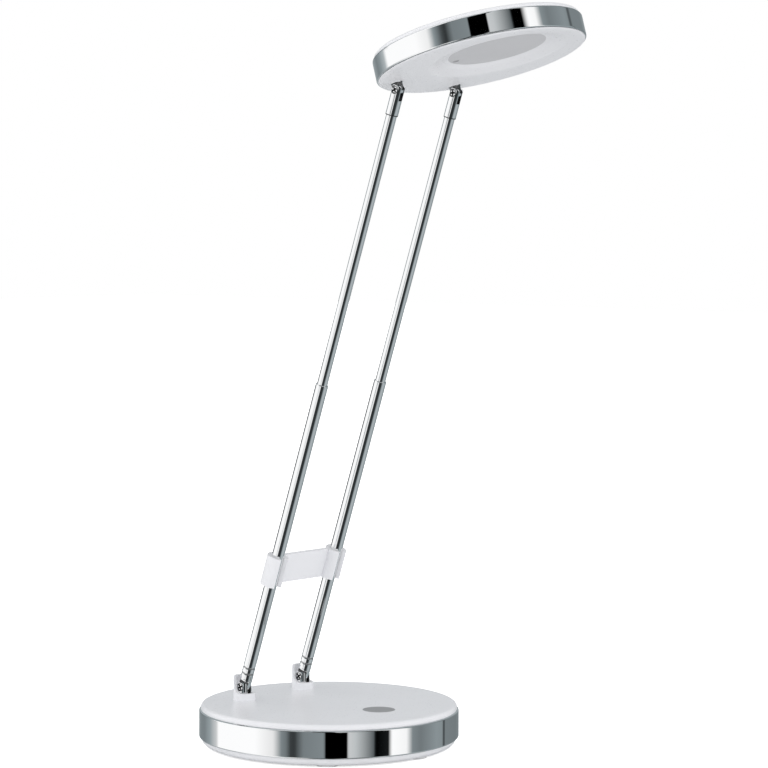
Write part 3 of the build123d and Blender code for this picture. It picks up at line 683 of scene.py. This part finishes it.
cup_places = [Matrix.Translation((x, base_hinge.y, cover_top * MM)) for x in rod_sides.values()]
feet = placed(round_bar(FOOT_RADIUS, 0, FOOT_HEIGHT, FOOT_ROUND), *foot_spots)
trim = piece("chrome_base_band", base_band(), "base", "chrome", "base_band", bright_chrome)
cover = piece("white_base_cover", base_cover(), "base", "white_gloss", "base_cover", gloss_white)
piece("white_hinge_cups", placed(hinge_cup(), *cup_places), "base", "white_gloss", "base_cover", soft_white)
pan = piece("white_base_pan", base_pan(), "base", "white_gloss", "base_pan", gloss_white)
piece("pale_rubber_feet", feet, "base", "rubber", "rubber_feet", pale_rubber)
piece("grey_touch_pad", placed(touch_pad(), pad_place), "base", "touch_grey", "touch_pad", touch_grey)
piece("black_supply_socket", from_cad("dc_socket", SOCKET_EDGE_ROUND), "base", "socket_black", "dc_socket",
      black_moulding)
# Chrome mirrors the studio and not these three
for shell in (trim, cover, pan):
    shell.visible_glossy = False


# Screws

def cross_screw(diameter, length, head_diameter, head_height, cross_width, cross_reach, cross_depth):
    """A screw along Z, its head above the height 0, with a tapered cross recess whose faces get painted
    shade.
    """
    shank = diameter / 2
    edge = head_diameter / 2
    screw = turned(
        [(0, -length), (shank, -length), (shank, 0), (edge, 0), (edge, head_height), (0, head_height)],
        [(4, head_height * HEAD_ROUND_SHARE)], SMALL_STEPS,
    )
    cross = None
    for quarter in (0, pi / 2):
        arm = bmesh.new()
        bmesh.ops.create_cube(arm, size=MM)
        bmesh.ops.scale(arm, vec=(2 * cross_reach, cross_width, 2 * cross_depth), verts=arm.verts[:])
        bmesh.ops.scale(arm, vec=CROSS_TAPER, verts=[v for v in arm.verts if v.co.z < 0])
        bmesh.ops.rotate(arm, cent=(0, 0, 0), matrix=Matrix.Rotation(quarter, 3, "Z"), verts=arm.verts[:])
        bmesh.ops.translate(arm, vec=(0, 0, head_height * MM), verts=arm.verts[:])
        cross = arm if cross is None else combined(cross, arm, "UNION")
    screw = combined(screw, cross, "DIFFERENCE")
    screw.normal_update()

    # The faces inside the cross get the near-black painted shade
    def in_cross(face):
        middle = face.calc_center_median()
        outward = face.normal.xy.dot(middle.xy.normalized()) if middle.xy.length > WELD else 0.0
        within_head = CROSS_LEAST_HEIGHT * MM < middle.z < head_height * MM - WELD
        return within_head and outward < CROSS_MOST_OUTWARD
    return second_finish(screw, in_cross)


def hinge_screws(places, fork_diameter, turns):
    """Two hinge screws with their heads on the -X side."""
    seat = fork_diameter / 2 - HINGE_SCREW_SINK
    whole = bmesh.new()
    for place, turn in zip(places, turns):
        lie = (place @ Matrix.Translation((-seat * MM, 0, 0)) @ Matrix.Rotation(-pi / 2, 4, "Y")
               @ Matrix.Rotation(radians(turn), 4, "Z"))
        screw = cross_screw(length=fork_diameter - HINGE_SCREW_SHORTER, **HINGE_SCREW)
        put_in(whole, placed(screw, lie))
    return whole


base_ends = [Matrix.Translation((x, base_hinge.y, base_hinge.z)) for x in rod_sides.values()]
head_ends = [rod_place(x, rod_length) for x in rod_sides.values()]
upside_down = Matrix.Translation((0, 0, SCREW_WELL_DEPTH * MM)) @ Matrix.Rotation(pi, 4, "X")
base_screws = placed(cross_screw(**BASE_SCREW), *[spot @ upside_down for spot in screw_spots])
piece("chrome_base_hinge_screws", hinge_screws(base_ends, BASE_FORK_DIAMETER, BASE_SCREW_TURNS),
      "base", "chrome", "base_hinge_screws", bright_chrome, painted_recess_shade)
piece("chrome_head_hinge_screws", hinge_screws(head_ends, SLEEVE_DIAMETER, HEAD_SCREW_TURNS),
      "upper_rods", "chrome", "head_hinge_screws", bright_chrome, painted_recess_shade)
piece("zinc_base_screws", base_screws, "base", "zinc_steel", "base_screws", zinc, painted_recess_shade)


# Rods

def lower_tube():
    """Outer tube with two rolled crimp grooves and a rim rolled in on the inner tube."""
    points = [(LOWER_BORE, LOWER_START), (LOWER_RADIUS, LOWER_START)]
    rounds = []
    for height in CRIMP_HEIGHTS:
        first = len(points)
        points += [(LOWER_RADIUS, height - CRIMP_HALF_WIDTH), (LOWER_RADIUS - CRIMP_DEPTH, height),
                   (LOWER_RADIUS, height + CRIMP_HALF_WIDTH)]
        rounds += [(first, CRIMP_EDGE_ROUND), (first + 1, CRIMP_FLOOR_ROUND), (first + 2, CRIMP_EDGE_ROUND)]
    rounds.append((len(points), LOWER_RIM_ROUND))
    lip_low = LOWER_END - LOWER_LIP_HEIGHT
    points += [(LOWER_RADIUS, LOWER_END), (LOWER_LIP_RADIUS, LOWER_END), (LOWER_LIP_RADIUS, lip_low),
               (LOWER_BORE, lip_low)]
    return turned(points, rounds, ROD_STEPS)


def in_groove(face):
    """Whether a face of the lower tube lies in a crimp groove."""
    def in_zone(vert):
        return vert.co.z < CRIMP_ZONE_TOP * MM and vert.co.xy.length > (LOWER_BORE + CRIMP_ZONE_WALL) * MM
    sunk = face.calc_center_median().xy.length < (LOWER_RADIUS - CRIMP_SHADE_DEPTH) * MM
    upright = abs(face.normal.z) < CRIMP_MOST_LEVEL
    return sunk and upright and all(in_zone(vert) for vert in face.verts)


def upper_tube():
    """Inner tube, necked at its foot for the contact bush."""
    bore = UPPER_RADIUS - UPPER_WALL
    neck_bore = NECK_RADIUS - UPPER_WALL
    collar_top = UPPER_START + NECK_COLLAR
    neck_top = UPPER_START + NECK_HEIGHT
    top = rod_length - UPPER_TOP_GAP
    return turned(
        [(neck_bore, UPPER_START), (UPPER_RADIUS, UPPER_START), (UPPER_RADIUS, collar_top),
         (NECK_RADIUS, collar_top), (NECK_RADIUS, neck_top), (UPPER_RADIUS, neck_top), (UPPER_RADIUS, top),
         (bore, top), (bore, neck_top + UPPER_WALL), (neck_bore, neck_top)],
        steps=ROD_STEPS,
    )


def in_slot(face, x):
    """Whether a face lies in the slot of the rod at x: its walls, its floor or the tongue's cheeks."""
    within = all(abs(vert.co.x - x) < SLOT_HALF_WIDTH * MM for vert in face.verts)
    is_wall = abs(face.normal.x) > SLOT_WALL_FACING
    return within and (is_wall or abs(face.normal.dot(rod_axis)) > SLOT_FLOOR_FACING)


def in_seat(face, x, pin):
    """Whether a face lies in the sunk seat of a hinge screw."""
    def near_pin(vert):
        return hypot(vert.co.y - pin.y, vert.co.z - pin.z) < SEAT_RADIUS * MM
    return all(near_pin(vert) and vert.co.x < x - SLOT_HALF_WIDTH * MM for vert in face.verts)


def part_end_ring(bm, x):
    """Part a narrow ring off the lower end of the sleeve on the rod at x."""
    bmesh.ops.bisect_plane(bm, geom=everything(bm), dist=WELD, plane_no=rod_axis,
                           plane_co=rod_place(x, rod_length - SLEEVE_LENGTH + SLEEVE_RING).translation)


def in_end_ring(face, x):
    """Whether a face lies in the ring at the lower end of the sleeve on the rod at x."""
    below = rod_place(x, rod_length).inverted() @ face.calc_center_median()
    return below.z < (SLEEVE_RING - SLEEVE_LENGTH) * MM


def hinge_part(part, side, x, pin, edge_round):
    """A fork, plug or tongue, with dark steel as painted shade in its slot, its screw's seat and a sleeve's
    lower end ring.
    """
    shape = from_cad(f"{part}_{side}", edge_round)
    if part == "head_tongue":
        flange = placed(round_bar(FLANGE_RADIUS, FLANGE_LOW, FLANGE_HIGH),
                        head_place @ Matrix.Translation((x, HEAD_REACH * MM, 0)))
        shape = combined(shape, flange, "INTERSECT")
    if part == "upper_fork":
        part_end_ring(shape, x)

    # Faces in the slot, the screw's seat and the sleeve's end ring get the dark steel as painted shade
    def gets_painted_shade(face):
        at_end = part == "upper_fork" and in_end_ring(face, x)
        return at_end or in_slot(face, x) or in_seat(face, x, pin)
    return second_finish(shape, gets_painted_shade)


hinge_parts = {
    "base_fork": ("base", base_hinge, FORK_EDGE_ROUND),
    "lower_plug": ("lower_rods", base_hinge, SLEEVE_EDGE_ROUND),
    "upper_fork": ("upper_rods", head_hinge, SLEEVE_EDGE_ROUND),
    "head_tongue": ("head", head_hinge, FORK_EDGE_ROUND),
}
for side, x in rod_sides.items():
    outer = placed(second_finish(lower_tube(), in_groove), rod_place(x))
    inner = placed(upper_tube(), rod_place(x))
    piece(f"chrome_lower_tube_{side}", outer, "lower_rods", "chrome", f"lower_tube_{side}",
          bright_chrome, groove_shade)
    piece(f"chrome_upper_tube_{side}", inner, "upper_rods", "chrome", f"upper_tube_{side}", bright_chrome)
    for part, (body, pin, edge_round) in hinge_parts.items():
        made = piece(f"chrome_{part}_{side}", hinge_part(part, side, x, pin, edge_round), body, "chrome",
                     f"{part}_{side}", bright_chrome, hinge_painted_shade)
        made.visible_diffuse = False
        made.visible_shadow = False


# Clip

def rod_clip():
    """White clip: two open rings on the lower tubes, joined by a flat web behind."""
    slit = radians(CLIP_HALF_SLIT)
    bm = bmesh.new()
    ends = [bm.verts.new((radius * MM * sin(slit), -radius * MM * cos(slit), 0))
            for radius in (CLIP_BORE, CLIP_RADIUS)]
    bm.edges.new(ends)
    bmesh.ops.spin(bm, geom=bm.verts[:] + bm.edges[:], cent=(0, 0, 0), axis=(0, 0, 1),
                   angle=2 * (pi - slit), steps=ROD_STEPS, use_merge=False)
    for level in (CLIP_WEB_FRONT, CLIP_WEB_BACK):
        bmesh.ops.bisect_plane(bm, geom=everything(bm), dist=WELD, plane_co=(0, level * MM, 0),
                               plane_no=(0, 1, 0))

    def faces_web(vert):
        on_ring = abs(hypot(vert.co.x, vert.co.y) - CLIP_RADIUS * MM) < CLIP_WEB_MARGIN * MM
        at_web = CLIP_WEB_FRONT * MM - WELD < vert.co.y < CLIP_WEB_BACK * MM + WELD
        return on_ring and at_web and vert.co.x < 0
    joining = [edge for edge in bm.edges if edge.is_boundary and all(faces_web(v) for v in edge.verts)]
    bmesh.ops.translate(bm, verts=bm.verts[:], vec=(ROD_SPACING / 2 * MM, 0, 0))
    web = bmesh.ops.extrude_edge_only(bm, edges=joining)["geom"]
    for part in web:
        if isinstance(part, bmesh.types.BMVert):
            part.co.x = 0
    bmesh.ops.mirror(bm, geom=everything(bm), axis="X", merge_dist=WELD)
    bmesh.ops.remove_doubles(bm, verts=bm.verts[:], dist=WELD)
    raised = bmesh.ops.extrude_face_region(bm, geom=bm.faces[:])["geom"]
    bmesh.ops.translate(bm, verts=[part for part in raised if isinstance(part, bmesh.types.BMVert)],
                        vec=(0, 0, CLIP_HEIGHT * MM))
    bmesh.ops.translate(bm, verts=bm.verts[:], vec=(0, 0, -CLIP_HEIGHT / 2 * MM))
    tidy(bm)
    bmesh.ops.dissolve_limit(bm, angle_limit=CLIP_FLAT_ANGLE, verts=bm.verts[:], edges=bm.edges[:])
    round_edges(bm, sharp_edges(bm, CORNER_ANGLE, convex_only=True), CLIP_ROUND, CLIP_ROUND_STEPS)
    return bm


piece("white_rod_clip", placed(rod_clip(), rod_place(0.0, CLIP_ALONG)), "clip", "white_clip", "rod_clip",
      clip_white)


# Head

def head_cap():
    """Top shell of the head, with a spigot inside the band."""
    return turned(
        [(0, CAP_CEILING), (CAP_SPIGOT_BORE, CAP_CEILING), (CAP_SPIGOT_BORE, CAP_SPIGOT_END),
         (CAP_SPIGOT_RADIUS, CAP_SPIGOT_END), (CAP_SPIGOT_RADIUS, HEAD_BAND_HIGH),
         (CAP_RADIUS, HEAD_BAND_HIGH), (CAP_RADIUS, CAP_TOP), (0, CAP_TOP)],
        [(6, CAP_ROUND)],
    )


def head_face():
    """Underside shell: a flat ring bridged to the forward dish and the pocket of the diffuser."""
    face = turned(
        [(FACE_FLAT_RADIUS, 0), (FACE_BEND_RADIUS, 0), (FACE_SHOULDER_RADIUS, FACE_SHOULDER_HEIGHT),
         (FACE_RADIUS, FACE_EDGE_HEIGHT), (FACE_STEP_RADIUS, FACE_EDGE_HEIGHT),
         (FACE_STEP_RADIUS, HEAD_BAND_LOW), (FACE_SPIGOT_RADIUS, HEAD_BAND_LOW),
         (FACE_SPIGOT_RADIUS, FACE_SPIGOT_END), (FACE_SPIGOT_BORE, FACE_SPIGOT_END),
         (FACE_SPIGOT_BORE, FACE_WALL)],
        [(1, FACE_ROUND), (2, FACE_ROUND)], closed=False,
    )
    pocket = DIFFUSER_RADIUS + POCKET_GAP
    dish = turned(
        [(DISH_FLAT_RADIUS, 0), (DISH_RADIUS, 0), (DISH_BEND_RADIUS, DISH_BEND_HEIGHT),
         (THROAT_RADIUS, DIFFUSER_LOW), (pocket, DIFFUSER_LOW), (pocket, DIFFUSER_TOP),
         (pocket + POCKET_WALL, DIFFUSER_TOP), (pocket + POCKET_WALL, FACE_WALL),
         (DISH_FLAT_RADIUS, FACE_WALL)],
        [(1, DISH_EDGE_ROUND), (2, DISH_BEND_ROUND)], closed=False,
    )
    bmesh.ops.translate(dish, verts=dish.verts[:], vec=(0, -DISH_OFFSET * MM, 0))
    put_in(face, dish)
    for level in (0.0, FACE_WALL):
        loops = [edge for edge in face.edges if edge.is_boundary
                 and all(abs(v.co.z - level * MM) < WELD for v in edge.verts)]
        bmesh.ops.bridge_loops(face, edges=loops)
    return tidy(face)


def diffuser():
    """Frosted disc with a shallow round dimple, whose faces get a darker grey."""
    spot = Vector((*DIMPLE_SPOT, 0)) * MM
    floor = DIFFUSER_LOW + DIMPLE_DEPTH
    start = DIFFUSER_LOW - DIMPLE_CUT_PAST
    dimple = turned([(0, start), (DIMPLE_RADIUS, start), (DIMPLE_FLOOR_RADIUS, floor), (0, floor)],
                  steps=DIMPLE_STEPS)
    disc = round_bar(DIFFUSER_RADIUS, DIFFUSER_LOW, DIFFUSER_TOP, DIFFUSER_ROUND, DISC_STEPS)
    disc = combined(disc, placed(dimple, Matrix.Translation(spot)), "DIFFERENCE")

    def near_dimple(vert):
        shallow = vert.co.z < (floor + DIMPLE_MARGIN) * MM
        return shallow and (vert.co - spot).xy.length < (DIMPLE_RADIUS + DIMPLE_MARGIN) * MM
    return second_finish(disc, lambda face: all(near_dimple(vert) for vert in face.verts))


head_band = band(HEAD_RADIUS, HEAD_BAND_LOW, HEAD_BAND_HIGH, **HEAD_BAND)
piece("chrome_head_band", placed(head_band, head_place), "head", "chrome", "head_band", bright_chrome)
piece("white_head_cap", placed(head_cap(), head_place), "head", "white_gloss", "head_cap", gloss_white)
piece("white_head_face", placed(head_face(), head_place), "head", "white_gloss", "head_face", gloss_white)
piece("frosted_diffuser", placed(diffuser(), light_place), "head", "diffuser", "diffuser",
      frosted, darker_dimple_grey)


# Floor: it takes the lamp's shadow and is lifted to white for the camera alone

FLOOR_SIZE = 6.0
FLOOR_COLOUR = (0.95, 0.95, 0.95, 1)
FLOOR_ROUGHNESS = 0.9
FLOOR_LIFT = 0.6

floor_shape = bmesh.new()
bmesh.ops.create_grid(floor_shape, x_segments=1, y_segments=1, size=FLOOR_SIZE)
floor = new_object("pale_floor", floor_shape)
floor.visible_glossy = False
floor_finish, floor_tree, floor_shader = new_finish("pale_floor")
floor_shader.inputs["Base Color"].default_value = FLOOR_COLOUR
floor_shader.inputs["Roughness"].default_value = FLOOR_ROUGHNESS
floor_shader.inputs["Specular IOR Level"].default_value = 0.0
floor_shader.inputs["Emission Color"].default_value = WHITE
floor_path = add(floor_tree, "ShaderNodeLightPath")
floor_lift = worked_out(floor_tree, "MULTIPLY", floor_path.outputs["Is Camera Ray"], FLOOR_LIFT)
floor_tree.links.new(floor_lift, floor_shader.inputs["Emission Strength"])
floor.data.materials.append(floor_finish)


# Camera: its distance from the middle of the base is in metres, and it is turned a little off that line

CAMERA_AZIMUTH = radians(-49.26)
CAMERA_ELEVATION = radians(10.75)
CAMERA_DISTANCE = 1.58945
CAMERA_YAW = radians(1.11)
CAMERA_PITCH = radians(7.27)
CAMERA_LENS = 132.08
CAMERA_SENSOR = 36.0
CAMERA_NEAR = 0.05
CAMERA_FAR = 50.0

back = Vector((sin(CAMERA_AZIMUTH) * cos(CAMERA_ELEVATION), -cos(CAMERA_AZIMUTH) * cos(CAMERA_ELEVATION),
               sin(CAMERA_ELEVATION)))
level_back = Vector((back.x, back.y, 0)).normalized()
right = Vector((cos(CAMERA_AZIMUTH), sin(CAMERA_AZIMUTH), 0))
up = back.cross(right)
turned_right = right * cos(CAMERA_YAW) + back * sin(CAMERA_YAW)
turned_back = back * cos(CAMERA_YAW) - right * sin(CAMERA_YAW)
tilted_up = up * cos(CAMERA_PITCH) + turned_back * sin(CAMERA_PITCH)
tilted_back = turned_back * cos(CAMERA_PITCH) - up * sin(CAMERA_PITCH)
camera_turn = Matrix((turned_right, tilted_up, tilted_back)).transposed().to_4x4()
camera_data = bpy.data.cameras.new("camera")
camera_data.lens = CAMERA_LENS
camera_data.sensor_width = CAMERA_SENSOR
camera_data.clip_start = CAMERA_NEAR
camera_data.clip_end = CAMERA_FAR
camera = bpy.data.objects.new("camera", camera_data)
camera.matrix_world = Matrix.Translation(back * CAMERA_DISTANCE) @ camera_turn
bpy.context.scene.collection.objects.link(camera)
bpy.context.scene.camera = camera


# Studio: chrome sees rings of upright cards

# A card is an angle in degrees from the camera's side, towards its right, and a brightness; rods see these
LOW_CARDS = [
    (-180, 0.45), (-150, 0.25), (-60, 0.95), (-46, 0.95), (-43, 0.5), (-39, 0.5), (-36, 0.9), (-23, 0.86),
    (-15, 0.03), (28, 0.03), (36, 0.1), (50, 0.34), (75, 0.47), (95, 0.42), (115, 0.35), (150, 0.22),
    (180, 0.45),
]
# The base band sees the middle cards
MIDDLE_CARDS = [
    (-180, 0.4), (-155, 0.23), (-143, 0.23), (-130, 0.34), (-118, 0.6), (-114, 1.0), (-68, 1.0), (-50, 0.8),
    (-42.5, 0.24), (-38, 0.18), (-34, 0.05), (-30, 0.04), (-22, 0.21), (-4.4, 0.25), (-3.4, 0.0), (16, 0.0),
    (17, 0.6), (23, 0.54), (39.5, 0.11), (41, 0.0), (53.5, 0.01), (57, 1.0), (72, 0.93), (78.5, 0.24),
    (88, 0.19), (110, 0.29), (119.6, 0.27), (121, 0.08), (123.5, 0.08), (125, 0.21), (152, 0.2),
    (180, 0.28),
]
# The head band sees the high cards
HIGH_CARDS = [
    (-180, 0.42), (-150, 0.22), (-139, 0.29), (-128, 0.46), (-121.5, 1.0), (-75, 1.0), (-60, 0.87),
    (-53, 0.29), (-44.5, 0.07), (-40, 0.03), (-32.5, 0.21), (-15.2, 0.24), (-14.2, 0.0), (6, 0.0),
    (7, 0.58), (13, 0.55), (33.5, 0.12), (35.5, 0.0), (48, 0.0), (53.5, 0.8), (56, 1.0), (66, 0.95),
    (74.5, 0.26), (84, 0.2), (110, 0.28), (117, 0.26), (119.5, 0.1), (122, 0.1), (124.5, 0.22),
    (150, 0.22), (180, 0.42),
]
# The left edges of the lower tubes see a darker end of the high cards
ROD_EDGE_CARDS = [(-180, 0.3), (-152, 0.08), (-119, 0.08), (-114, 1.0)]

# Elevations, in degrees, over which one ring of cards gives way to the next
LOW_FROM = (-46, -42)
MIDDLE_FROM = (-12.4, -11.4)
HIGH_FROM = (-5.5, -3.5)
# The same, measured from the plane of the tilted head
ROD_EDGE_FROM = (13.5, 13.9)
ROD_EDGE_TO = (19.2, 19.8)

# Cards up to the cool level are tinted, and from the neutral level on they are not
COOL_LEVEL = 0.35
NEUTRAL_LEVEL = 0.65
COOL_TINT = (-0.13, 0.0, 0.05)

# Soft light on the rest: one part from all round, which fades up and down, and one even part
SURROUND_LEVEL = 1.1
SURROUND_POWER = 2.0
EVEN_LEVEL = 0.6

UPWARDS = Vector((0, 0, 1))
head_axis = head_place.col[2].xyz
world = bpy.data.worlds.new("studio")
bpy.context.scene.world = world
world.use_nodes = True
sky = world.node_tree
sky.nodes.clear()
direction = add(sky, "ShaderNodeTexCoord").outputs["Generated"]


def along(axis):
    """How far the seen direction goes along an axis."""
    dot = add(sky, "ShaderNodeVectorMath", operation="DOT_PRODUCT")
    dot.inputs[1].default_value = axis
    sky.links.new(direction, dot.inputs[0])
    return dot.outputs["Value"]


seen_angle = worked_out(sky, "ARCTAN2", along(right), along(level_back))
round_share = mapped(sky, seen_angle, -pi, pi)


def card_colour(level):
    """A card's colour: the darker greys are a little cool, the bright ones neutral."""
    cool = min(1.0, max(0.0, (NEUTRAL_LEVEL - level) / (NEUTRAL_LEVEL - COOL_LEVEL)))
    return (*(level * (1 + cool * part) for part in COOL_TINT), 1)


def card_ring(cards):
    """One ring of cards round the lamp."""
    ramp = add(sky, "ShaderNodeValToRGB")
    stops = ramp.color_ramp.elements
    stops[0].color = card_colour(cards[0][1])
    stops[-1].color = card_colour(cards[-1][1])
    for turn, level in cards[1:-1]:
        stops.new((turn + 180) / 360).color = card_colour(level)
    sky.links.new(round_share, ramp.inputs["Fac"])
    return ramp.outputs["Color"]


def above(elevations, lower, upper, axis=UPWARDS):
    """The lower cards up to one elevation about an axis, and the upper ones from another."""
    start, end = (sin(radians(elevation)) for elevation in elevations)
    mixed = add(sky, "ShaderNodeMix", data_type="RGBA")
    sky.links.new(mapped(sky, along(axis), start, end), mixed.inputs["Factor"])
    sky.links.new(lower, mixed.inputs[6])
    sky.links.new(upper, mixed.inputs[7])
    return mixed.outputs[2]


def background(colour, strength=1.0):
    """Light of a colour from all round."""
    light = add(sky, "ShaderNodeBackground")
    feed(sky, light.inputs["Color"], colour)
    feed(sky, light.inputs["Strength"], strength)
    return light.outputs["Background"]


def chosen(factor, without, within):
    """One light where a factor is 0, and another where it is 1."""
    mixed = add(sky, "ShaderNodeMixShader")
    for socket, source in zip(mixed.inputs, (factor, without, within)):
        sky.links.new(source, socket)
    return mixed.outputs["Shader"]


middle_ring = card_ring(MIDDLE_CARDS)
high_ring = card_ring(HIGH_CARDS)
edge_end = ROD_EDGE_CARDS[-1][0]
rod_edge_ring = card_ring(ROD_EDGE_CARDS + [card for card in HIGH_CARDS if card[0] > edge_end])
rings = above(LOW_FROM, middle_ring, card_ring(LOW_CARDS))
rings = above(MIDDLE_FROM, rings, middle_ring)
rings = above(HIGH_FROM, rings, high_ring)
rings = above(ROD_EDGE_FROM, rings, rod_edge_ring, head_axis)
rings = above(ROD_EDGE_TO, rings, high_ring, head_axis)

height = along(UPWARDS)
sideways = worked_out(sky, "SUBTRACT", 1.0, worked_out(sky, "MULTIPLY", height, height))
surround = worked_out(sky, "POWER", sideways, SURROUND_POWER)
soft_level = worked_out(sky, "MULTIPLY_ADD", surround, SURROUND_LEVEL, EVEN_LEVEL)

path = add(sky, "ShaderNodeLightPath")
seen_by_pieces = chosen(path.outputs["Is Glossy Ray"], background(WHITE, soft_level), background(rings))
seen_by_all = chosen(path.outputs["Is Camera Ray"], seen_by_pieces, background(WHITE))
sky.links.new(seen_by_all, add(sky, "ShaderNodeOutputWorld").inputs["Surface"])

bpy.context.scene.view_settings.view_transform = "Standard"
